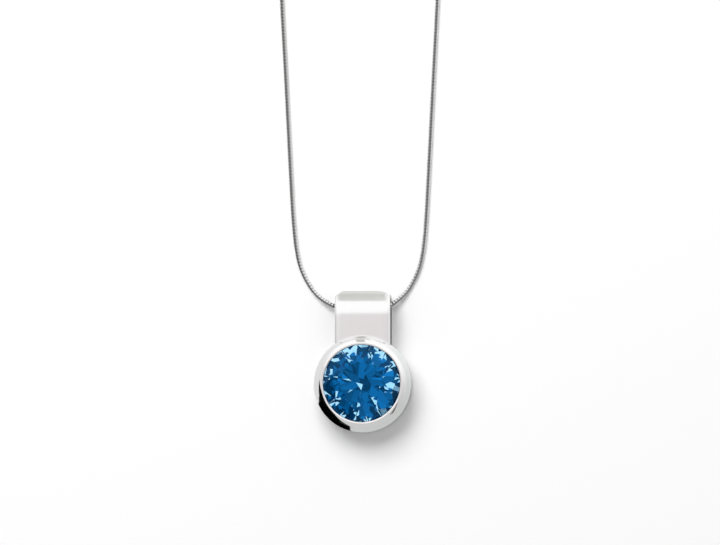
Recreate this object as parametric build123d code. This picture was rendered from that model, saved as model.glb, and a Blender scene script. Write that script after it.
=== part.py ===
from build123d import *
import math
import os

# Pendant necklace, millimetres. It lies face up on a surface: +Y runs from the stone
# up to the bail, +Z is the way the stone faces. The origin is the middle of the
# pendant's underside, without the chain.

# ---- stone ----
STONE_R = 7.0
STONE_Y = -3.95
STONE_TURN = 9.0
GIRDLE_Z = 6.1
GIRDLE_T = 0.42
TABLE_R = 3.75
CROWN_SLOPE = 33.5
STAR_SLOPE = 20.5
UPPER_SLOPE = 40.5
PAVILION_SLOPE = 40.8
LOWER_SLOPE = 42.2
CULET_R = 0.12

# ---- bezel ----
BEZEL_R = 8.45
BEZEL_WALL_H = 5.0
LIP_Z = 7.0
OPENING_R = 6.68
SEAT_R = 7.06
RING_IN_R = 6.42
RING_BOTTOM_Z = 4.6
FIT = 0.015

# ---- back gallery ----
GALLERY_T = 0.9
GALLERY_RIM_IN = 6.0
GALLERY_HUB_OUT = 3.3
GALLERY_HUB_IN = 2.3
GALLERY_PETALS = 8
PETAL_W = 0.75

# ---- bail ----
BAIL_W = 9.7
BAIL_TOP_Y = 12.4
BAIL_T = 0.95
BAIL_H = 4.9
BAIL_FOLD = 4.4
BAIL_FOLD_IN = 2.6
BAIL_EDGE = 0.36
BAIL_CORNER = 1.5

# ---- chain ----
CHAIN_D = 0.8
FLOOR_Z = CHAIN_D / 2
ARC_SHARE = 0.45
END_Z = 0.83
CHAIN_ROUTE = [
    (-4.9, 82.6, END_Z),
    (-4.9, 87.0, END_Z),
    (-4.95, 94.8, FLOOR_Z),
    (-4.7, 109.5, FLOOR_Z),
    (-4.95, 125.2, FLOOR_Z),
    (-4.85, 133.0, FLOOR_Z),
    (-7.7, 135.85, FLOOR_Z),
    (-11.7, 135.85, FLOOR_Z),
    (-14.55, 133.0, FLOOR_Z),
    (-14.5, 125.6, FLOOR_Z),
    (-14.8, 111.0, FLOOR_Z),
    (-14.6, 90.0, FLOOR_Z),
    (-14.75, 68.5, FLOOR_Z),
    (-13.8, 51.5, FLOOR_Z),
    (-12.98, 35.2, FLOOR_Z),
    (-12.38, 23.9, FLOOR_Z),
    (-11.62, 18.1, FLOOR_Z),
    (-10.58, 15.23, FLOOR_Z),
    (-9.2, 12.93, FLOOR_Z),
    (-8.06, 11.6, 0.7),
    (-6.53, 10.49, 1.25),
    (-4.57, 9.45, 1.78),
    (-0.1, 9.15, 1.85),
    (4.33, 9.45, 1.8),
    (6.73, 11.5, 0.85),
    (7.88, 12.85, FLOOR_Z),
    (9.07, 15.0, FLOOR_Z),
    (10.06, 17.64, FLOOR_Z),
    (10.74, 22.45, FLOOR_Z),
    (11.25, 31.5, FLOOR_Z),
    (12.1, 48.5, FLOOR_Z),
    (13.15, 68.5, FLOOR_Z),
    (13.75, 89.5, FLOOR_Z),
    (13.6, 110.8, FLOOR_Z),
    (13.9, 125.4, FLOOR_Z),
    (13.8, 132.86, FLOOR_Z),
    (11.16, 135.5, FLOOR_Z),
    (7.44, 135.5, FLOOR_Z),
    (4.8, 132.86, FLOOR_Z),
    (4.85, 125.5, FLOOR_Z),
    (5.1, 111.5, FLOOR_Z),
    (4.8, 95.5, FLOOR_Z),
    (4.85, 87.0, END_Z),
    (4.85, 82.6, END_Z),
]

# ---- end caps, upright loops and flat jump rings ----
CAP_R = 0.65
CAP_BORE_R = 0.42
CAP_DEPTH = 2.4
CAP_LEN = 3.3
CAP_BEAD_R = 0.11
LOOP_R = 0.62
LOOP_WIRE_R = 0.2
STEM_LEN = 0.6
RING_R = 1.6
RING_WIRE_R = 0.25
RING_Z = END_Z - 0.08
RING_CUT_DEG = 4.0

# ---- clasp: local x runs along it, from its end loop to the tip of the hook ----
CLASP_T = 1.6
CLASP_EDGE = 0.28
NECK_X = 0.62
NECK_W = 1.0
BASE_X = 3.7
BASE_R = 1.75
HOOK_X = 6.9
HOOK_OUT = (3.0, 2.3)
HOOK_IN = (2.15, 1.4)
PIVOT = (4.3, -0.55)
RIVET_R = 0.3
RIVET_HEAD_R = 0.5
RIVET_HEAD_T = 0.12
SLOT_T = 0.72
LEVER_T = 0.62
LEVER_HUB_R = 0.72
LEVER_TIP_X = 8.25
SPRING_WIRE_R = 0.07
SPRING_R = 0.5
SPRING_TURNS = 2

# ---- tag ----
TAG_L = 5.2
TAG_W = 3.0
TAG_T = 0.45
TAG_NECK = 0.35

CAP_A = (CHAIN_ROUTE[0][0], CHAIN_ROUTE[0][1])
CAP_B = (CHAIN_ROUTE[-1][0], CHAIN_ROUTE[-1][1])


def save(shape, node):
    """Writes one node's solids."""
    shape.label = node
    export_step(shape, "parts/" + node + ".step")


def cut_facet(solid, azimuth, slope, reach, height, up):
    """Cuts a solid by the plane that falls outwards at slope and crosses height at reach."""
    turn = math.radians(azimuth)
    tilt = math.radians(slope)
    normal = Vector(math.cos(turn) * math.sin(tilt), math.sin(turn) * math.sin(tilt), up * math.cos(tilt))
    point = (reach * math.cos(turn), reach * math.sin(turn), height)
    return split(solid, Plane(origin=point, z_dir=normal), keep=Keep.BOTTOM)


def gemstone():
    """Round brilliant: table, 8 stars, 8 mains and 16 halves above; 8 mains and 16 halves below."""
    top = GIRDLE_Z + GIRDLE_T
    table_z = top + (STONE_R - TABLE_R) * math.tan(math.radians(CROWN_SLOPE))
    culet_z = GIRDLE_Z - (STONE_R - CULET_R) * math.tan(math.radians(PAVILION_SLOPE))
    stone = Pos(0, 0, culet_z) * Cylinder(
        STONE_R, table_z - culet_z, align=(Align.CENTER, Align.CENTER, Align.MIN)
    )
    half = math.cos(math.radians(11.25))
    for k in range(8):
        main = STONE_TURN + 45 * k
        stone = cut_facet(stone, main, CROWN_SLOPE, STONE_R, top, 1)
        stone = cut_facet(stone, main, PAVILION_SLOPE, STONE_R, GIRDLE_Z, -1)
        star_reach = TABLE_R * math.cos(math.radians(22.5))
        stone = cut_facet(stone, main + 22.5, STAR_SLOPE, star_reach, table_z, 1)
        for side in (-11.25, 11.25):
            stone = cut_facet(stone, main + side, UPPER_SLOPE, STONE_R * half, top, 1)
            stone = cut_facet(stone, main + side, LOWER_SLOPE, STONE_R * half, GIRDLE_Z, -1)
    return Pos(0, STONE_Y, 0) * stone


def turned(points):
    """A ring turned about the stone's axis from a closed (radius, height) outline."""
    outline = make_face(Polyline(*[(r, 0, z) for r, z in points], close=True))
    return Pos(0, STONE_Y, 0) * revolve(outline, Axis.Z)


def bezel_wall():
    """Cup wall, domed at the front, with a bright bevelled lip rolled over the girdle."""
    lip_out = (OPENING_R + 0.42, LIP_Z)
    with BuildSketch(Plane.XZ) as sketch:
        with BuildLine():
            Polyline((SEAT_R, 0.0), (BEZEL_R - 0.2, 0.0), (BEZEL_R, 0.2), (BEZEL_R, BEZEL_WALL_H))
            Spline(
                (BEZEL_R, BEZEL_WALL_H),
                (BEZEL_R - 0.38, BEZEL_WALL_H + 1.12),
                lip_out,
                tangents=[(0, 1), (-1, 0.32)],
            )
            Polyline(
                lip_out,
                (OPENING_R + 0.22, LIP_Z + 0.06),
                (OPENING_R, LIP_Z - 0.12),
                (OPENING_R + 0.02, LIP_Z - 0.24),
                (SEAT_R, LIP_Z - 0.46),
                (SEAT_R, 0.0),
            )
        make_face()
    return Pos(0, STONE_Y, 0) * revolve(sketch.sketch, Axis.Z)


def bearing_ring():
    """Seat under the girdle, with a conical top that follows the pavilion."""
    drop = math.tan(math.radians(PAVILION_SLOPE))
    top_z = GIRDLE_Z - 0.12
    out_r = SEAT_R - FIT
    return turned(
        [
            (RING_IN_R, RING_BOTTOM_Z),
            (out_r, RING_BOTTOM_Z),
            (out_r, top_z),
            (RING_IN_R, top_z - (out_r - RING_IN_R) * drop),
        ]
    )


def back_gallery():
    """Flat pierced back: a rim, a hub ring and narrow petals between them."""
    mid_r = (GALLERY_RIM_IN + GALLERY_HUB_OUT) / 2
    rim = Circle(SEAT_R - FIT) - Circle(GALLERY_RIM_IN)
    hub = Circle(GALLERY_HUB_OUT) - Circle(GALLERY_HUB_IN)
    plate = rim + hub
    long_r = (GALLERY_RIM_IN - GALLERY_HUB_OUT) / 2 + 0.35
    for k in range(GALLERY_PETALS):
        turn = 360 / GALLERY_PETALS * k + STONE_TURN
        petal = Ellipse(long_r, PETAL_W) - Ellipse(long_r - 0.55, PETAL_W - 0.38)
        plate = plate + Rot(0, 0, turn) * Pos(mid_r, 0) * petal
    return Pos(0, STONE_Y, 0) * extrude(plate, GALLERY_T)


def bail_outline(fold_y, reach, low, high, root_y):
    """Side outline of the folded strap: two straight legs and an elliptical fold."""
    mid = (low + high) / 2
    leg = Pos((root_y + fold_y) / 2, mid) * Rectangle(fold_y - root_y, high - low)
    fold = Pos(fold_y, mid) * Ellipse(reach, (high - low) / 2)
    return leg + fold


def bail_strap():
    """Strap folded over the chain, both ends standing on the bezel's round wall."""
    root_y = STONE_Y + 2
    outer = bail_outline(BAIL_TOP_Y - BAIL_FOLD, BAIL_FOLD, 0, BAIL_H, root_y)
    inner_top = BAIL_TOP_Y - BAIL_T - 0.05
    inner = bail_outline(inner_top - BAIL_FOLD_IN, BAIL_FOLD_IN, BAIL_T, BAIL_H - BAIL_T, root_y - 1)
    strap = extrude(Plane.YZ * (outer - inner), BAIL_W / 2, both=True)
    rims = [e for e in strap.edges().group_by(Axis.X)[0] + strap.edges().group_by(Axis.X)[-1]]
    strap = chamfer(rims, BAIL_EDGE)
    plan = Pos(0, BAIL_TOP_Y + 0.05 - BAIL_W, -1) * RectangleRounded(BAIL_W + 0.1, 2 * BAIL_W, BAIL_CORNER)
    strap = strap & extrude(plan, BAIL_H + 2)
    wall = Pos(0, STONE_Y, -1) * Cylinder(
        BEZEL_R + 0.005, BAIL_H + 2, align=(Align.CENTER, Align.CENTER, Align.MIN)
    )
    return strap - wall


def corner_radii(points):
    """The largest tangent arc at each corner: a share of the shorter run over half the turn."""
    radii = []
    for before, corner, after in zip(points, points[1:], points[2:]):
        run_in = Vector(*corner) - Vector(*before)
        run_out = Vector(*after) - Vector(*corner)
        half_turn = math.radians(run_in.get_angle(run_out) / 2)
        radii.append(ARC_SHARE * min(run_in.length, run_out.length) / math.tan(half_turn))
    return radii


def snake_chain():
    """Round snake chain: straight runs joined by tangent arcs, one end cap to the other."""
    radii = corner_radii(CHAIN_ROUTE)
    path = FilletPolyline(*CHAIN_ROUTE, radius=radii)
    section = Plane(origin=path @ 0, z_dir=path % 0) * Circle(CHAIN_D / 2)
    tube = sweep(section, path=path)
    expected = math.pi * (CHAIN_D / 2) ** 2 * path.length
    print("chain length", round(path.length, 2), "volume", round(tube.volume, 2), "expected", round(expected, 2))
    print("radii", [round(r, 1) for r in radii])
    return tube


def end_cap(x, y):
    """Crimped end cap over the chain's end, closed by a wall that holds the wire eye."""
    mouth = y + CAP_DEPTH
    along = Plane(origin=(x, mouth, END_Z), z_dir=(0, -1, 0))
    low = (Align.CENTER, Align.CENTER, Align.MIN)
    cap = along * Cylinder(CAP_R - CAP_BEAD_R, CAP_LEN, align=low)
    for place in (0.3, 0.85, CAP_LEN - 0.3):
        cap = cap + along * Pos(0, 0, place) * Torus(CAP_R - 2 * CAP_BEAD_R, 2 * CAP_BEAD_R)
    cap = cap - along * Pos(0, 0, -1) * Cylinder(CAP_BORE_R, CAP_DEPTH + 1, align=low)
    stem = along * Pos(0, 0, CAP_LEN - STEM_LEN) * Cylinder(LOOP_WIRE_R + FIT, STEM_LEN + 1, align=low)
    return cap - stem


def upright_loop(x, y):
    """Closed wire loop that stands on edge, its centre at x, y."""
    return Plane(origin=(x, y, END_Z), z_dir=(1, 0, 0)) * Torus(LOOP_R, LOOP_WIRE_R)


def eye_y(y):
    """Centre of the wire eye behind an end cap."""
    return y + CAP_DEPTH - CAP_LEN - LOOP_R - LOOP_WIRE_R - FIT


def eyelet(x, y):
    """Wire eye on edge, with a stem soldered into the cap."""
    along = Plane(origin=(x, y + CAP_DEPTH - CAP_LEN + STEM_LEN, END_Z), z_dir=(0, -1, 0))
    stem = along * Cylinder(LOOP_WIRE_R, STEM_LEN + 2 * LOOP_WIRE_R, align=(Align.CENTER, Align.CENTER, Align.MIN))
    return upright_loop(x, eye_y(y)) + stem


def jump_ring(x, y):
    """Open wire ring, lying flat, hung in the wire eye. Its cut faces sideways."""
    wire = Plane.XZ * Pos(RING_R, 0) * Circle(RING_WIRE_R)
    ring = revolve(wire, Axis.Z, revolution_arc=360 - RING_CUT_DEG)
    return Pos(x, eye_y(y) - RING_R, RING_Z) * Rot(0, 0, RING_CUT_DEG / 2) * ring


def clasp_plane():
    """The clasp's own frame: x runs away from the jump ring, from the clasp's end loop."""
    return Plane(origin=(CAP_A[0], eye_y(CAP_A[1]) - 2 * RING_R, 0), x_dir=(0, -1, 0), z_dir=(0, 0, 1))


def rounded_plate(shape):
    """A flat plate of the clasp's thickness with bevelled rims."""
    plate = extrude(shape, CLASP_T)
    return chamfer(plate.edges().group_by(Axis.Z)[0] + plate.edges().group_by(Axis.Z)[-1], CLASP_EDGE)


def clasp_body():
    """Base and hook in one piece, slotted for the lever, with a wire loop at its end."""
    neck_end = BASE_X - BASE_R / 2
    neck = Pos((NECK_X + neck_end) / 2, 0, CLASP_T / 2) * Box(neck_end - NECK_X, NECK_W, CLASP_T - 2 * CLASP_EDGE)
    base = rounded_plate(Pos(BASE_X, 0) * Circle(BASE_R))
    hook = rounded_plate(Pos(HOOK_X, 0) * Ellipse(*HOOK_OUT))
    hole = extrude(Pos(HOOK_X, 0, -1) * Ellipse(*HOOK_IN), CLASP_T + 2)
    gap_x = PIVOT[0] + LEVER_HUB_R + 0.2
    gap = Pos((gap_x + LEVER_TIP_X) / 2, -HOOK_OUT[1], CLASP_T / 2) * Box(
        LEVER_TIP_X - gap_x, 2 * HOOK_OUT[1], CLASP_T + 2
    )
    slot = Pos(PIVOT[0], PIVOT[1], CLASP_T / 2) * Cylinder(LEVER_HUB_R + 0.12, SLOT_T)
    side_slot = Pos(PIVOT[0] + 1.1, PIVOT[1] - 1.2, CLASP_T / 2) * Box(3.4, 2.4, SLOT_T)
    swing_slot = Pos(PIVOT[0] + 1.42, PIVOT[1] + 0.2, CLASP_T / 2) * Box(2.8, 1.3, SLOT_T)
    tip_slot = Pos(LEVER_TIP_X, -HOOK_OUT[1] / 2 - 0.2, CLASP_T / 2) * Box(0.9, HOOK_OUT[1], SLOT_T)
    bore = Pos(PIVOT[0], PIVOT[1], CLASP_T / 2) * Cylinder(RIVET_R + 0.02, CLASP_T + 1)
    plate = base + hook + neck - hole
    for room in (gap, slot, side_slot, swing_slot, tip_slot, bore):
        plate = plate - room
    loop = Plane(origin=(0, 0, END_Z), z_dir=(0, 1, 0)) * Torus(LOOP_R, LOOP_WIRE_R)
    return clasp_plane() * (Pos(0, 0, RIVET_HEAD_T) * plate + loop)


def clasp_lever():
    """Gate arm from the rivet to the hook's tip, with a thumb nub on its outer side."""
    low = RIVET_HEAD_T + (CLASP_T - LEVER_T) / 2
    hub = Pos(*PIVOT) * Circle(LEVER_HUB_R)
    band = Pos(HOOK_X, 0) * (Ellipse(HOOK_OUT[0] - 0.12, HOOK_OUT[1] - 0.12) - Ellipse(2.35, 1.62))
    reach = LEVER_TIP_X - 0.1 - PIVOT[0]
    window = Pos(PIVOT[0] + reach / 2, -1.6) * Rectangle(reach, 2.0)
    root = Pos(PIVOT[0] + 0.35, PIVOT[1] - 0.45) * Rectangle(1.0, 0.9)
    nub = Pos(PIVOT[0] + 0.95, -2.25) * Circle(0.42)
    arm = hub + (band & window) + root + nub
    lever = extrude(Pos(0, 0, low) * arm, LEVER_T)
    bore = Pos(PIVOT[0], PIVOT[1], 0) * Cylinder(RIVET_R + 0.03, 4)
    well_r = SPRING_R + SPRING_WIRE_R + 0.05
    well = Pos(PIVOT[0], PIVOT[1], low + 0.15) * Cylinder(
        well_r, LEVER_T, align=(Align.CENTER, Align.CENTER, Align.MIN)
    )
    return clasp_plane() * (lever - bore - well)


def clasp_rivet():
    """Pin through both cheeks and the lever, with a low head on each side."""
    low = (Align.CENTER, Align.CENTER, Align.MIN)
    pin = Cylinder(RIVET_R, CLASP_T, align=low)
    for z in (-RIVET_HEAD_T, CLASP_T):
        pin = pin + Pos(0, 0, z) * Cylinder(RIVET_HEAD_R, RIVET_HEAD_T, align=low)
    return clasp_plane() * Pos(PIVOT[0], PIVOT[1], RIVET_HEAD_T) * pin


def clasp_spring():
    """Small coil round the rivet, in the lever's well, that closes the gate."""
    pitch = 2.3 * SPRING_WIRE_R
    height = pitch * SPRING_TURNS
    path = Helix(pitch=pitch, height=height, radius=SPRING_R)
    wire = sweep(Plane(origin=path @ 0, z_dir=path % 0) * Circle(SPRING_WIRE_R), path=path)
    floor = RIVET_HEAD_T + (CLASP_T - LEVER_T) / 2 + 0.15 + SPRING_WIRE_R + 0.03
    return clasp_plane() * Pos(PIVOT[0], PIVOT[1], floor) * wire


def quality_tag():
    """Blank oval tag with a wire loop, on the second jump ring."""
    plate = extrude(Ellipse(TAG_L / 2, TAG_W / 2), TAG_T)
    plate = fillet(plate.edges(), 0.08)
    loop_y = eye_y(CAP_B[1]) - 2 * RING_R
    plate_x = LOOP_R + TAG_NECK / 2 + TAG_L / 2
    place = Plane(origin=(CAP_B[0], loop_y, END_Z - TAG_T / 2), x_dir=(0, -1, 0), z_dir=(0, 0, 1))
    return place * Pos(plate_x, 0, 0) * plate + upright_loop(CAP_B[0], loop_y)


os.makedirs("parts", exist_ok=True)
save(gemstone(), "gemstone")
save(bezel_wall(), "bezel_wall")
save(bearing_ring(), "bearing_ring")
save(back_gallery(), "back_gallery")
save(bail_strap(), "bail_strap")
save(snake_chain(), "snake_chain")
for name, spot in (("a", CAP_A), ("b", CAP_B)):
    save(end_cap(*spot), "ferrule_" + name)
    save(eyelet(*spot), "eyelet_" + name)
    save(jump_ring(*spot), "jump_ring_" + name)
save(clasp_body(), "clasp_body")
save(clasp_lever(), "clasp_lever")
save(clasp_rivet(), "clasp_rivet")
save(clasp_spring(), "clasp_spring")
save(quality_tag(), "quality_tag")
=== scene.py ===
import math

import bmesh
import bpy
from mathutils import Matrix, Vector


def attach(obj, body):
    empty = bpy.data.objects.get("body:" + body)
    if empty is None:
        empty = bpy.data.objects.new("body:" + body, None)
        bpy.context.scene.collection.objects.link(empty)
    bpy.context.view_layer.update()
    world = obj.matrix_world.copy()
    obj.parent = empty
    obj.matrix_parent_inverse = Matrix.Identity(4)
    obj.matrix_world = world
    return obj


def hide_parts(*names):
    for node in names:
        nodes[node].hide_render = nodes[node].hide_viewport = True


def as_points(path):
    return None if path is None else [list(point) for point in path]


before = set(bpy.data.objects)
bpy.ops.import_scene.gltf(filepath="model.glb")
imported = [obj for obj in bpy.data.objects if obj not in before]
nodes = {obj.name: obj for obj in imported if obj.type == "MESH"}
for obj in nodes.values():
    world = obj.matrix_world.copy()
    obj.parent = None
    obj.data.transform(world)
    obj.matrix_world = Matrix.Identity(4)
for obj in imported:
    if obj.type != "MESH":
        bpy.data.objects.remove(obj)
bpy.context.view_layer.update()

MM = 0.001

# The stone's middle, in millimetres. The pendant's sizes are those of its CAD nodes.
STONE_Y = -3.95

# ---------------------------------------------------------------- camera
VIEW_WIDTH = 126 * MM
CAMERA_DISTANCE = 1.2
SENSOR = 36.0
LOOK_AT = Vector((-0.74 * MM, 15.75 * MM, 0.0))
TILT_X = math.radians(4.0)
TILT_Y = math.radians(-3.4)


def aim(obj, at, direction, distance):
    """Puts obj at a distance from a point, looking at it, with +Y up in the picture."""
    back = direction.normalized()
    right = Vector((0, 1, 0)).cross(back).normalized()
    up = back.cross(right)
    place = at + back * distance
    for row in range(3):
        for col, axis in enumerate((right, up, back, place)):
            obj.matrix_world[row][col] = axis[row]


def build_camera():
    data = bpy.data.cameras.new("camera")
    data.sensor_width = SENSOR
    data.lens = SENSOR * CAMERA_DISTANCE / VIEW_WIDTH
    data.clip_start = 0.01
    data.clip_end = 50
    camera = bpy.data.objects.new("camera", data)
    bpy.context.scene.collection.objects.link(camera)
    aim(camera, LOOK_AT, Vector((math.tan(TILT_X), math.tan(TILT_Y), 1)), CAMERA_DISTANCE)
    bpy.context.scene.camera = camera


build_camera()

# ---------------------------------------------------------------- the chain's route
CHAIN_D = 0.8 * MM
FLOOR_Z = 0.4
END_Z = 0.83
CHAIN_ROUTE = [
    (-4.9, 82.6, END_Z),
    (-4.9, 87.0, END_Z),
    (-4.95, 94.8, FLOOR_Z),
    (-4.7, 109.5, FLOOR_Z),
    (-4.95, 125.2, FLOOR_Z),
    (-4.85, 133.0, FLOOR_Z),
    (-7.7, 135.85, FLOOR_Z),
    (-11.7, 135.85, FLOOR_Z),
    (-14.55, 133.0, FLOOR_Z),
    (-14.5, 125.6, FLOOR_Z),
    (-14.8, 111.0, FLOOR_Z),
    (-14.6, 90.0, FLOOR_Z),
    (-14.75, 68.5, FLOOR_Z),
    (-13.8, 51.5, FLOOR_Z),
    (-12.98, 35.2, FLOOR_Z),
    (-12.38, 23.9, FLOOR_Z),
    (-11.62, 18.1, FLOOR_Z),
    (-10.58, 15.23, FLOOR_Z),
    (-9.2, 12.93, FLOOR_Z),
    (-8.06, 11.6, 0.7),
    (-6.53, 10.49, 1.25),
    (-4.57, 9.45, 1.78),
    (-0.1, 9.15, 1.85),
    (4.33, 9.45, 1.8),
    (6.73, 11.5, 0.85),
    (7.88, 12.85, FLOOR_Z),
    (9.07, 15.0, FLOOR_Z),
    (10.06, 17.64, FLOOR_Z),
    (10.74, 22.45, FLOOR_Z),
    (11.25, 31.5, FLOOR_Z),
    (12.1, 48.5, FLOOR_Z),
    (13.15, 68.5, FLOOR_Z),
    (13.75, 89.5, FLOOR_Z),
    (13.6, 110.8, FLOOR_Z),
    (13.9, 125.4, FLOOR_Z),
    (13.8, 132.86, FLOOR_Z),
    (11.16, 135.5, FLOOR_Z),
    (7.44, 135.5, FLOOR_Z),
    (4.8, 132.86, FLOOR_Z),
    (4.85, 125.5, FLOOR_Z),
    (5.1, 111.5, FLOOR_Z),
    (4.8, 95.5, FLOOR_Z),
    (4.85, 87.0, END_Z),
    (4.85, 82.6, END_Z),
]


def route_line(points, resolution):
    """The points of the smooth NURBS line that has these control points, in metres."""
    data = bpy.data.curves.new("route", "CURVE")
    data.dimensions = "3D"
    data.resolution_u = resolution
    spline = data.splines.new("NURBS")
    spline.points.add(len(points) - 1)
    for point, (x, y, z) in zip(spline.points, points):
        point.co = (x * MM, y * MM, z * MM, 1)
    spline.order_u = 3
    spline.use_endpoint_u = True
    holder = bpy.data.objects.new("route", data)
    bpy.context.scene.collection.objects.link(holder)
    mesh = bpy.data.meshes.new_from_object(holder)
    line = [v.co.copy() for v in mesh.vertices]
    bpy.data.objects.remove(holder)
    bpy.data.curves.remove(data)
    bpy.data.meshes.remove(mesh)
    return line


class Path:
    """A polyline that gives the place, the direction and a steady side way at a length along it."""

    def __init__(self, line):
        self.line = line
        self.at = [0.0]
        for a, b in zip(line, line[1:]):
            self.at.append(self.at[-1] + (b - a).length)
        self.length = self.at[-1]
        self.tangents = []
        last = len(line) - 1
        for i in range(len(line)):
            self.tangents.append((line[min(i + 1, last)] - line[max(i - 1, 0)]).normalized())
        self.sides = []
        side = Vector((1, 0, 0))
        for tangent in self.tangents:
            side = (side - tangent * side.dot(tangent)).normalized()
            self.sides.append(side.copy())

    def frame(self, s, hint=0):
        """(place, tangent, side, up, index) at length s. hint is an index to start looking from."""
        s = min(max(s, 0.0), self.length)
        i = hint
        while i < len(self.at) - 2 and self.at[i + 1] < s:
            i += 1
        share = (s - self.at[i]) / (self.at[i + 1] - self.at[i])
        place = self.line[i].lerp(self.line[i + 1], share)
        tangent = self.tangents[i].lerp(self.tangents[i + 1], share).normalized()
        side = self.sides[i].lerp(self.sides[i + 1], share)
        side = (side - tangent * side.dot(tangent)).normalized()
        return place, tangent, side, tangent.cross(side), i


def mesh_object(name, verts, faces, smooth=True):
    """A mesh piece from its points and faces."""
    mesh = bpy.data.meshes.new(name)
    mesh.from_pydata(verts, [], faces)
    mesh.update()
    obj = bpy.data.objects.new(name, mesh)
    bpy.context.scene.collection.objects.link(obj)
    for polygon in mesh.polygons:
        polygon.use_smooth = smooth
    return obj


LINK_PITCH = 0.575 * MM
LINK_SIDES = 18
LINK_LEAN = 0.1
LINK_GROOVE = 0.72
LINK_PROFILE = [(0.0, LINK_GROOVE), (0.13, 0.94), (0.5, 1.0), (0.87, 0.94), (1.0, LINK_GROOVE)]
SEAM_SHADE_WIDTH = 0.62


def link_painted_shade(turn, swell, tangent):
    """Painted shade on the chain: how dark each point is painted, dark in the grooves and along the seam
    where the links interlock. The seam runs along the top, and a little outwards where the chain curves."""
    seam = 1.5 * math.pi + 0.8 * min(1.0, 1.5 * abs(tangent.x))
    away = abs((turn - seam + math.pi) % (2 * math.pi) - math.pi)
    lit = 1 - 0.86 * math.exp(-(away / SEAM_SHADE_WIDTH) ** 2)
    return lit * (0.4 + 0.6 * (swell - LINK_GROOVE) / (1 - LINK_GROOVE))


def snake_chain():
    """Snake chain: one skin along the route with a round, wavy-edged link after another in it."""
    path = Path(route_line(CHAIN_ROUTE, 24))
    count = int(path.length / LINK_PITCH)
    pitch = path.length / count
    verts = []
    shades = []
    hint = 0
    for link in range(count):
        for share, swell in LINK_PROFILE:
            for k in range(LINK_SIDES):
                turn = 2 * math.pi * k / LINK_SIDES
                lean = LINK_LEAN * math.cos(2 * turn + math.pi * 0.25)
                s = (link + share + lean) * pitch
                place, tangent, side, up, hint_now = path.frame(s, max(hint - 3, 0))
                offset = side * math.cos(turn) + up * math.sin(turn)
                verts.append(place + offset * (CHAIN_D / 2 * swell))
                shades.append(link_painted_shade(turn, swell, tangent))
        hint = hint_now
    rings = count * len(LINK_PROFILE)
    faces = []
    for ring in range(rings - 1):
        for k in range(LINK_SIDES):
            a = ring * LINK_SIDES + k
            b = ring * LINK_SIDES + (k + 1) % LINK_SIDES
            faces.append((a, b, b + LINK_SIDES, a + LINK_SIDES))
    faces.append(tuple(reversed(range(LINK_SIDES))))
    faces.append(tuple(range((rings - 1) * LINK_SIDES, rings * LINK_SIDES)))
    piece = mesh_object("snake_chain_links", verts, faces)
    # The painted shade of each point goes on the mesh as an attribute.
    painted_link_shade = piece.data.attributes.new("painted_link_shade", "FLOAT", "POINT")
    painted_link_shade.data.foreach_set("value", shades)
    return piece, path


chain, chain_path = snake_chain()
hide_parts("snake_chain")
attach(chain, "chain")
[c * MM for c in CHAIN_ROUTE[0]]
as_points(chain_path.line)

# ---------------------------------------------------------------- bezel
BEZEL_R = 8.45
WALL_H = 5.0
LIP_Z = 7.0
OPENING_R = 6.68
SEAT_R = 7.06
RING_SEGMENTS = 288


def hermite(a, b, slope_a, slope_b, steps):
    """Points of a smooth arc from a to b with these end slopes."""
    points = []
    for i in range(steps + 1):
        t = i / steps
        h = (2 * t ** 3 - 3 * t ** 2 + 1, t ** 3 - 2 * t ** 2 + t, -2 * t ** 3 + 3 * t ** 2, t ** 3 - t ** 2)
        points.append(tuple(
            h[0] * a[n] + h[1] * slope_a[n] + h[2] * b[n] + h[3] * slope_b[n] for n in (0, 1)
        ))
    return points


def lathe(name, outline, crease):
    """A ring turned about the stone's axis from a closed (radius, height) outline in millimetres."""
    verts = []
    for k in range(RING_SEGMENTS):
        turn = 2 * math.pi * k / RING_SEGMENTS
        for r, z in outline:
            verts.append((r * math.cos(turn) * MM, (STONE_Y + r * math.sin(turn)) * MM, z * MM))
    n = len(outline)
    faces = []
    for k in range(RING_SEGMENTS):
        here = k * n
        there = (k + 1) % RING_SEGMENTS * n
        for i in range(n):
            j = (i + 1) % n
            faces.append((here + i, there + i, there + j, here + j))
    piece = mesh_object(name, verts, faces)
    piece.data.set_sharp_from_angle(angle=math.radians(crease))
    return piece


def bezel():
    """Cup wall with a domed front and a narrow burnished lip over the stone's edge. Its inside, the last
    side of the outline, has the second material: near black metal, painted shade inside the cup."""
    dome = hermite((BEZEL_R, WALL_H), (OPENING_R + 0.42, LIP_Z), (0, 2.3), (-1.75, 0.5), 28)
    lip = hermite((OPENING_R + 0.42, LIP_Z), (OPENING_R, LIP_Z - 0.14), (-0.3, 0.2), (-0.1, -0.4), 8)
    wall = [(SEAT_R, 0.0), (BEZEL_R - 0.2, 0.0), (BEZEL_R - 0.06, 0.06), (BEZEL_R, 0.2)]
    inside = [(OPENING_R + 0.02, LIP_Z - 0.24), (SEAT_R, LIP_Z - 0.46)]
    outline = wall + dome + lip[1:] + inside
    piece = lathe("bezel_cup", outline, 24)
    for index in range(len(outline) - 1, len(piece.data.polygons), len(outline)):
        piece.data.polygons[index].material_index = 1
    return piece


# ---------------------------------------------------------------- bail
BAIL_W = 9.7
BAIL_TOP_Y = 12.4
BAIL_T = 0.95
BAIL_H = 4.9
BAIL_FOLD = 4.4
BAIL_FOLD_IN = 2.6
BAIL_CORNER = 1.5
BAIL_ROUND = 0.4
FOLD_STEPS = 56
LEG_STEPS = 14
ROUND_STEPS = 7


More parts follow.
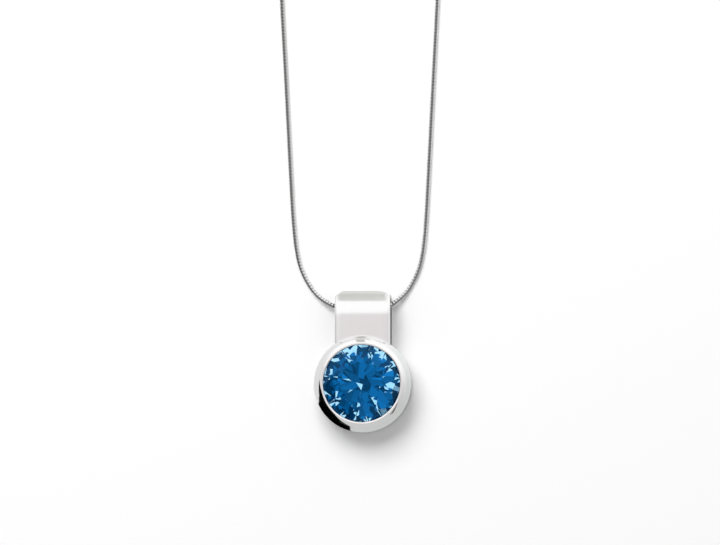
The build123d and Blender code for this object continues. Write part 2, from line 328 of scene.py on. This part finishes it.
def strap_line(top, fold, low, high):
    """Side outline of a folded strap from the upper leg's root round the fold to the lower leg's root.
    Each point is (share of the leg or None, y, z, normal y, normal z)."""
    mid = (low + high) / 2
    tall = (high - low) / 2
    line = []
    for i in range(LEG_STEPS):
        line.append((i / LEG_STEPS, top - fold, high, 0.0, 1.0))
    for i in range(FOLD_STEPS + 1):
        turn = math.pi / 2 - math.pi * i / FOLD_STEPS
        normal = Vector((math.cos(turn) / fold, math.sin(turn) / tall)).normalized()
        y, z = top - fold + fold * math.cos(turn), mid + tall * math.sin(turn)
        line.append((None, y, z, normal.x, normal.y))
    for i in reversed(range(LEG_STEPS)):
        line.append((i / LEG_STEPS, top - fold, low, 0.0, -1.0))
    return line


def strap_skin(line, outward):
    """Rows of points over one skin of the strap, its side edges rounded."""
    rows = []
    root_in = 0.06
    for share, y, z, ny, nz in line:
        over = max(0.0, y - (BAIL_TOP_Y - BAIL_CORNER))
        half = BAIL_W / 2 - (BAIL_CORNER - math.sqrt(max(0.0, BAIL_CORNER ** 2 - over ** 2)))
        right = [((half - BAIL_ROUND) * step / 5, 0.0) for step in range(1, 5)]
        for i in range(ROUND_STEPS + 1):
            turn = math.pi / 2 * i / ROUND_STEPS
            right.append((half - BAIL_ROUND * (1 - math.sin(turn)), BAIL_ROUND * (1 - math.cos(turn))))
        row = [(-x, inset) for x, inset in reversed(right)] + [(0.0, 0.0)] + right
        points = []
        for x, inset in row:
            py = y - outward * ny * inset
            pz = z - outward * nz * inset
            if share is not None:
                root = STONE_Y + math.sqrt(BEZEL_R ** 2 - x ** 2) - root_in
                py = root + (py - root) * share
            points.append((x * MM, py * MM, pz * MM))
        rows.append(points)
    return rows


def bail():
    """Strap folded over the chain, its edges rounded and its upper corners cut round."""
    outer = strap_skin(strap_line(BAIL_TOP_Y, BAIL_FOLD, 0, BAIL_H), 1)
    inner = strap_skin(strap_line(BAIL_TOP_Y - BAIL_T - 0.05, BAIL_FOLD_IN, BAIL_T, BAIL_H - BAIL_T), -1)
    width = len(outer[0])
    verts = [p for row in outer + inner for p in row]
    count = len(outer)
    faces = []
    skin = count * width
    for r in range(count - 1):
        for c in range(width - 1):
            a = r * width + c
            b = a + width
            faces.append((a, b, b + 1, a + 1))
    for r in range(count - 1):
        for c in range(width - 1):
            a = r * width + c + skin
            b = a + width
            faces.append((a, a + 1, b + 1, b))
    inside = range(len(faces) // 2, len(faces))
    for r in range(count - 1):
        a = r * width
        b = a + width
        faces.append((a, a + skin, b + skin, b))
        a += width - 1
        b += width - 1
        faces.append((a, b, b + skin, a + skin))
    for r in (0, count - 1):
        for c in range(width - 1):
            a = r * width + c
            ring = (a, a + 1, a + 1 + skin, a + skin)
            faces.append(ring if r == 0 else tuple(reversed(ring)))
    piece = mesh_object("bail_fold", verts, faces)
    piece.data.set_sharp_from_angle(angle=math.radians(40))
    # The inner skin of the fold gets the near black metal: painted shade where the chain runs through.
    for index in inside:
        piece.data.polygons[index].material_index = 1
    return piece


# ---------------------------------------------------------------- stone
STONE_R = 7.0
STONE_TURN = 9.0
GIRDLE_Z = 6.1
GIRDLE_T = 0.42
TABLE_R = 3.75
CULET_R = 0.12
CROWN_MAIN = 33.5
CROWN_STAR = 20.5
CROWN_HALF = 40.5
BELOW_MAIN = 40.8
BELOW_HALF = 42.2


def cut(bm, azimuth, slope, reach, height, up):
    """Cuts the stone by the plane that falls outwards at slope and crosses height at reach."""
    turn, tilt = math.radians(azimuth), math.radians(slope)
    normal = Vector((math.cos(turn) * math.sin(tilt), math.sin(turn) * math.sin(tilt), up * math.cos(tilt)))
    point = Vector((reach * math.cos(turn), reach * math.sin(turn), height))
    geom = bm.verts[:] + bm.edges[:] + bm.faces[:]
    made = bmesh.ops.bisect_plane(bm, geom=geom, plane_co=point, plane_no=normal, clear_outer=True)
    edges = [e for e in made["geom_cut"] if isinstance(e, bmesh.types.BMEdge)]
    bmesh.ops.contextual_create(bm, geom=edges)


def stone():
    """Round brilliant: table, 8 stars, 8 mains and 16 halves above; 8 mains and 16 halves below."""
    top = GIRDLE_Z + GIRDLE_T
    table_z = top + (STONE_R - TABLE_R) * math.tan(math.radians(CROWN_MAIN))
    culet_z = GIRDLE_Z - (STONE_R - CULET_R) * math.tan(math.radians(BELOW_MAIN))
    bm = bmesh.new()
    bmesh.ops.create_cone(
        bm, cap_ends=True, segments=96, radius1=STONE_R, radius2=STONE_R, depth=table_z - culet_z
    )
    bmesh.ops.translate(bm, verts=bm.verts[:], vec=(0, 0, (table_z + culet_z) / 2))
    half = math.cos(math.radians(11.25))
    star_reach = TABLE_R * math.cos(math.radians(22.5))
    for k in range(8):
        main = STONE_TURN + 45 * k
        cut(bm, main, CROWN_MAIN, STONE_R, top, 1)
        cut(bm, main, BELOW_MAIN, STONE_R, GIRDLE_Z, -1)
        cut(bm, main + 22.5, CROWN_STAR, star_reach, table_z, 1)
        for side in (-11.25, 11.25):
            cut(bm, main + side, CROWN_HALF, STONE_R * half, top, 1)
            cut(bm, main + side, BELOW_HALF, STONE_R * half, GIRDLE_Z, -1)
    bmesh.ops.scale(bm, verts=bm.verts[:], vec=(MM, MM, MM))
    bmesh.ops.translate(bm, verts=bm.verts[:], vec=(0, STONE_Y * MM, 0))
    bmesh.ops.recalc_face_normals(bm, faces=bm.faces[:])
    mesh = bpy.data.meshes.new("faceted_stone")
    bm.to_mesh(mesh)
    bm.free()
    piece = bpy.data.objects.new("faceted_stone", mesh)
    bpy.context.scene.collection.objects.link(piece)
    return piece


bezel_piece = bezel()
bail_piece = bail()
stone_piece = stone()
for piece, node, slot in (
    (bezel_piece, "bezel_wall", "polished_metal"),
    (bail_piece, "bail_strap", "polished_metal"),
    (stone_piece, "gemstone", "blue_stone"),
):
    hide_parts(node)
    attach(piece, "pendant")

# ---------------------------------------------------------------- materials


def new_material(name):
    """(material, its node tree, its Principled shader)"""
    material = bpy.data.materials.new(name)
    material.use_nodes = True
    tree = material.node_tree
    return material, tree, tree.nodes["Principled BSDF"]


def add_node(tree, kind, **inputs):
    """A node of a kind, with its sockets set by name."""
    node = tree.nodes.new(kind)
    for key, value in inputs.items():
        node.inputs[key.replace("_", " ")].default_value = value
    return node


def metal(name, color, rough, scratch_scale, scratch_depth, grain=0.25, painted_link_shade=False, tarnish=None):
    """Polished metal: fine crossing polishing lines and cloudy roughness. With the link shade flag, painted
    shade from the mesh darkens its grooves and seam. tarnish: the colour of its hollows, with polished
    edges."""
    material, tree, shader = new_material(name)
    link = tree.links.new
    shader.inputs["Base Color"].default_value = (*color, 1)
    shader.inputs["Metallic"].default_value = 1.0
    # Painted shade: the mesh's shade factor mixes the colour down to near black in the grooves and along the
    # seam.
    if painted_link_shade:
        painted_shade_factor = tree.nodes.new("ShaderNodeAttribute")
        painted_shade_factor.attribute_name = "painted_link_shade"
        shade = tree.nodes.new("ShaderNodeMix")
        shade.data_type = "RGBA"
        shade.inputs["A"].default_value = (0.03, 0.03, 0.03, 1)
        shade.inputs["B"].default_value = (*color, 1)
        link(painted_shade_factor.outputs["Fac"], shade.inputs["Factor"])
        link(shade.outputs["Result"], shader.inputs["Base Color"])
    if tarnish:
        geometry = tree.nodes.new("ShaderNodeNewGeometry")
        edges = tree.nodes.new("ShaderNodeMapRange")
        edges.inputs["From Min"].default_value = 0.4
        edges.inputs["From Max"].default_value = 0.56
        link(geometry.outputs["Pointiness"], edges.inputs["Value"])
        shade = tree.nodes.new("ShaderNodeMix")
        shade.data_type = "RGBA"
        shade.inputs["A"].default_value = (*tarnish, 1)
        shade.inputs["B"].default_value = (*color, 1)
        link(edges.outputs["Result"], shade.inputs["Factor"])
        link(shade.outputs["Result"], shader.inputs["Base Color"])
    coords = tree.nodes.new("ShaderNodeTexCoord")
    clouds = add_node(tree, "ShaderNodeTexNoise", Scale=900.0, Detail=4.0, Roughness=0.6)
    link(coords.outputs["Object"], clouds.inputs["Vector"])
    spread = tree.nodes.new("ShaderNodeMapRange")
    spread.inputs["To Min"].default_value = rough * (1 - grain)
    spread.inputs["To Max"].default_value = rough * (1 + grain)
    link(clouds.outputs["Fac"], spread.inputs["Value"])
    link(spread.outputs["Result"], shader.inputs["Roughness"])
    bump = tree.nodes.new("ShaderNodeBump")
    bump.inputs["Strength"].default_value = 0.25
    bump.inputs["Distance"].default_value = scratch_depth
    lines = []
    for turn in (0.5, 2.0):
        mapping = tree.nodes.new("ShaderNodeMapping")
        mapping.inputs["Rotation"].default_value = (0, 0, turn)
        mapping.inputs["Scale"].default_value = (1, 14, 1)
        link(coords.outputs["Object"], mapping.inputs["Vector"])
        noise = add_node(tree, "ShaderNodeTexNoise", Scale=scratch_scale, Detail=2.0)
        link(mapping.outputs["Vector"], noise.inputs["Vector"])
        lines.append(noise)
    total = tree.nodes.new("ShaderNodeMath")
    total.operation = "ADD"
    link(lines[0].outputs["Fac"], total.inputs[0])
    link(lines[1].outputs["Fac"], total.inputs[1])
    link(total.outputs["Value"], bump.inputs["Height"])
    link(bump.outputs["Normal"], shader.inputs["Normal"])
    return material


def stone_material():
    """Clear, flawless blue stone, tinted through its depth."""
    material, tree, shader = new_material("blue_stone")
    link = tree.links.new
    shader.inputs["Base Color"].default_value = (1, 1, 1, 1)
    shader.inputs["Roughness"].default_value = 0.0
    shader.inputs["IOR"].default_value = 1.63
    shader.inputs["Transmission Weight"].default_value = 1.0
    shader.inputs["Specular Tint"].default_value = (0.05, 0.45, 1, 1)
    absorb = tree.nodes.new("ShaderNodeVolumeAbsorption")
    absorb.inputs["Color"].default_value = (0.02, 0.57, 0.885, 1)
    absorb.inputs["Density"].default_value = 190.0
    output = tree.nodes["Material Output"]
    link(absorb.outputs["Volume"], output.inputs["Volume"])
    return material


silver = metal("polished_silver", (0.87, 0.865, 0.865), 0.085, 700, 0.000003)
satin_silver = metal("satin_silver", (0.87, 0.865, 0.865), 0.19, 700, 0.000003)
cast_silver = metal("cast_silver", (0.76, 0.755, 0.755), 0.16, 1800, 0.000006, tarnish=(0.2, 0.19, 0.18))
wire_silver = metal("wire_silver", (0.72, 0.715, 0.72), 0.12, 1800, 0.000005, tarnish=(0.25, 0.24, 0.23))
chain_silver = metal("chain_silver", (0.86, 0.855, 0.86), 0.2, 1500, 0.00001, painted_link_shade=True)
# Near black metal on the insides of the bezel cup and bail and on the bearing ring: painted shade where
# silver lies in shade.
painted_shade_metal = metal("painted_shade_metal", (0.13, 0.13, 0.14), 0.4, 900, 0.00001)
spring_steel = metal("spring_steel", (0.6, 0.6, 0.62), 0.3, 1500, 0.00002)
blue_stone = stone_material()

chain.data.materials.append(chain_silver)


def give(node, material):
    """Replaces every material of a CAD node."""
    obj = nodes[node]
    if not obj.material_slots:
        obj.data.materials.append(material)
    for slot in obj.material_slots:
        slot.material = material


give("bearing_ring", painted_shade_metal)
give("back_gallery", silver)
for node in ("ferrule_a", "ferrule_b", "clasp_body", "clasp_lever", "quality_tag"):
    give(node, cast_silver)
for node in ("eyelet_a", "eyelet_b", "jump_ring_a", "jump_ring_b", "clasp_rivet"):
    give(node, wire_silver)
give("clasp_spring", spring_steel)
bezel_piece.data.materials.append(silver)
bezel_piece.data.materials.append(painted_shade_metal)
bail_piece.data.materials.append(satin_silver)
bail_piece.data.materials.append(painted_shade_metal)
stone_piece.data.materials.append(blue_stone)

# ---------------------------------------------------------------- studio
# One soft lamp and an even sky light the floor and cast the shadows. Cards glow for reflections only, or
# for what is seen through the stone only. The pattern on the metal and the stone's pale and dark facets
# come from them, and the stone's cards are coloured.
FLOOR_HALF = 3.0
CENTRE = Vector((0, STONE_Y * MM, 5 * MM))
AMBIENT = 0.47
CARD_DISTANCE = 0.7
LAYER = 0.02
CARD_STEPS = 6
FLOOR_CARD_Z = 0.04
WHITE = (1, 1, 1)
WARM = (1.0, 1.0, 0.96)
COOL = (0.96, 1.0, 0.98)
BROWN = (0.35, 0.2, 0.1)
PINK = (1.0, 0.955, 0.965)


def build_floor():
    floor = mesh_object(
        "floor",
        [(-FLOOR_HALF, -FLOOR_HALF, 0), (FLOOR_HALF, -FLOOR_HALF, 0),
         (FLOOR_HALF, FLOOR_HALF, 0), (-FLOOR_HALF, FLOOR_HALF, 0)],
        [(0, 1, 2, 3)],
    )
    material, tree, shader = new_material("white_floor")
    shader.inputs["Base Color"].default_value = (0.9, 0.9, 0.9, 1)
    shader.inputs["Roughness"].default_value = 0.9
    shader.inputs["Specular IOR Level"].default_value = 0.1
    floor.data.materials.append(material)


def way_to(azimuth, elevation):
    turn, rise = math.radians(azimuth), math.radians(elevation)
    return Vector((math.cos(turn) * math.cos(rise), math.sin(turn) * math.cos(rise), math.sin(rise)))


def soft_box(azimuth, elevation, distance, size, power):
    """A soft lamp that lights the scene. What the metal mirrors are the cards."""
    data = bpy.data.lights.new("soft_box", "AREA")
    data.shape = "RECTANGLE"
    data.size, data.size_y = size
    data.energy = power
    light = bpy.data.objects.new("soft_box", data)
    bpy.context.scene.collection.objects.link(light)
    way = way_to(azimuth, elevation)
    light.location = CENTRE + way * distance
    light.rotation_euler = way.to_track_quat("Z", "Y").to_euler()
    light.visible_glossy = False
    light.visible_transmission = False


def build_world():
    world = bpy.data.worlds.new("studio")
    bpy.context.scene.world = world
    world.use_nodes = True
    background = world.node_tree.nodes["Background"]
    background.inputs["Color"].default_value = (1, 1, 1, 1)
    background.inputs["Strength"].default_value = AMBIENT


def show_card(piece, color, gem):
    """Makes a piece a studio card: metal mirrors it, or, for gem, only the stone's inside sees it."""
    material, tree, shader = new_material(piece.name)
    shader.inputs["Base Color"].default_value = (0, 0, 0, 1)
    shader.inputs["Roughness"].default_value = 1.0
    shader.inputs["Specular IOR Level"].default_value = 0.0
    shader.inputs["Emission Color"].default_value = (*color, 1)
    glow = tree.nodes.new("ShaderNodeAttribute")
    glow.attribute_name = "glow"
    tree.links.new(glow.outputs["Fac"], shader.inputs["Emission Strength"])
    piece.data.materials.append(material)
    piece.visible_camera = False
    piece.visible_diffuse = False
    piece.visible_shadow = False
    piece.visible_volume_scatter = False
    piece.visible_glossy = not gem
    piece.visible_transmission = gem


def sheet_card(name, columns, point_at, color, gem):
    """A sheet through columns of (azimuth, low, high, glow). point_at gives a point from azimuth and
    height."""
    rows = []
    for here, there in zip(columns, columns[1:]):
        for i in range(CARD_STEPS):
            share = i / CARD_STEPS
            rows.append([here[n] + (there[n] - here[n]) * share for n in range(4)])
    rows.append(columns[-1])
    verts = []
    glows = []
    for azimuth, low, high, glow in rows:
        for j in range(CARD_STEPS + 1):
            verts.append(point_at(azimuth, low + (high - low) * j / CARD_STEPS))
            glows.append(glow)
    faces = []
    for i in range(len(rows) - 1):
        for j in range(CARD_STEPS):
            a = i * (CARD_STEPS + 1) + j
            faces.append((a, a + 1, a + CARD_STEPS + 2, a + CARD_STEPS + 1))
    piece = mesh_object(name, verts, faces)
    level = piece.data.attributes.new("glow", "FLOAT", "POINT")
    level.data.foreach_set("value", glows)
    show_card(piece, color, gem)


def card(name, columns, color, layer=0, gem=False):
    """A curved card round the pendant; low and high are elevations. A higher layer hides a lower."""
    distance = CARD_DISTANCE - LAYER * layer
    sheet_card(name, columns, lambda azimuth, rise: CENTRE + way_to(azimuth, rise) * distance, color, gem)


def plain_card(name, azimuths, elevations, color, glow, layer=0, gem=False):
    card(name, [(azimuth, *elevations, glow) for azimuth in azimuths], color, layer, gem)


def floor_card(name, columns, color, gem=False):
    """A flat sheet on the floor that dims what the metal mirrors there, or what the stone lets through.
    low and high are radii from the stone's axis, in millimetres."""

    def point_at(azimuth, reach):
        way = way_to(azimuth, 0)
        return Vector((way.x * reach, STONE_Y + way.y * reach, FLOOR_CARD_Z)) * MM

    sheet_card(name, columns, point_at, color, gem)


build_floor()
build_world()
soft_box(112, 55, 0.9, (0.6, 0.55), 7.1)

ROOM = [
    (-30, 0.62), (-14, 0.68), (0, 0.77), (12, 0.92), (26, 1.08), (40, 1.15), (80, 1.16), (130, 1.13),
    (144, 0.95), (156, 0.83), (188, 0.78), (250, 0.66), (285, 0.66), (310, 0.64), (330, 0.62),
]
card("room_walls", [(azimuth, -8, 66, glow) for azimuth, glow in ROOM], WHITE)
plain_card("room_top", (0, 90, 180, 270, 360), (64, 90), PINK, 0.79, 1)
plain_card("white_overhead", (60, 105, 155), (40, 80), WHITE, 1.15, 2)
plain_card("grey_slot", (90, 101), (-6, 43), WARM, 0.6, 3)
card("black_card", [
    (173, 20, 23, 0), (186, 4, 50, 0), (198, -8, 57, 0), (222, -8, 50, 0), (236, -8, 18, 0),
    (255, -8, -7.8, 0),
], WHITE, 3)
card("brown_slip", [
    (311, 18, 22, 0.1), (317, 14, 34, 0.1), (326, 34, 50, 0.1), (332, 53, 56, 0.1),
], BROWN, 3)
floor_card("floor_right", [
    (232, 600, 601, 0.66), (255, 8.8, 300, 0.66), (330, 8.7, 300, 0.64), (358, 8.7, 300, 0.72),
    (384, 8.7, 300, 0.92), (415, 8.7, 300, 1.0),
], COOL)
floor_card("floor_black", [
    (188, 200, 600, 0), (195, 30, 600, 0), (204, 8.7, 600, 0), (232, 8.7, 600, 0), (255, 8.7, 8.8, 0),
], WHITE)
floor_card("floor_left", [
    (104, 8.7, 300, 0.92), (145, 8.7, 300, 0.86), (188, 8.7, 200, 0.8), (195, 8.7, 30, 0.8),
    (204, 8.6, 8.7, 0.8),
], WHITE)
floor_card("floor_behind", [(82, 16.8, 300, 0.8), (104, 16.8, 300, 0.8)], WARM)

STONE_GLOW = (1, 0.34, 0.17)
STONE_DEEP = (0.12, 0.9, 1)
STONE_MIDDLE = [
    (0, 0.3), (50, 0.75), (105, 0.28), (165, 0.6), (225, 0.26), (285, 0.8), (330, 0.25), (360, 0.3),
]
BRIGHT_HALF = 21
BRIGHT_GLOW = 10.0
plain_card("gem_sky", (0, 120, 240, 360), (0, 90), STONE_DEEP, 0.13, 0, True)
card("gem_middle", [(azimuth, 75, 89.5, glow) for azimuth, glow in STONE_MIDDLE], STONE_DEEP, 2, True)
for azimuth, top in ((20, 74), (75, 74), (130, 63), (190, 59), (245, 60), (300, 69)):
    span = (azimuth - BRIGHT_HALF, azimuth + BRIGHT_HALF)
    plain_card("gem_bright_%d" % azimuth, span, (22, top), STONE_GLOW, BRIGHT_GLOW, 1, True)
floor_card("gem_floor", [(azimuth, 0.1, 7, 0.05) for azimuth in range(0, 361, 45)], STONE_DEEP, True)

scene = bpy.context.scene
scene.view_settings.view_transform = "Standard"
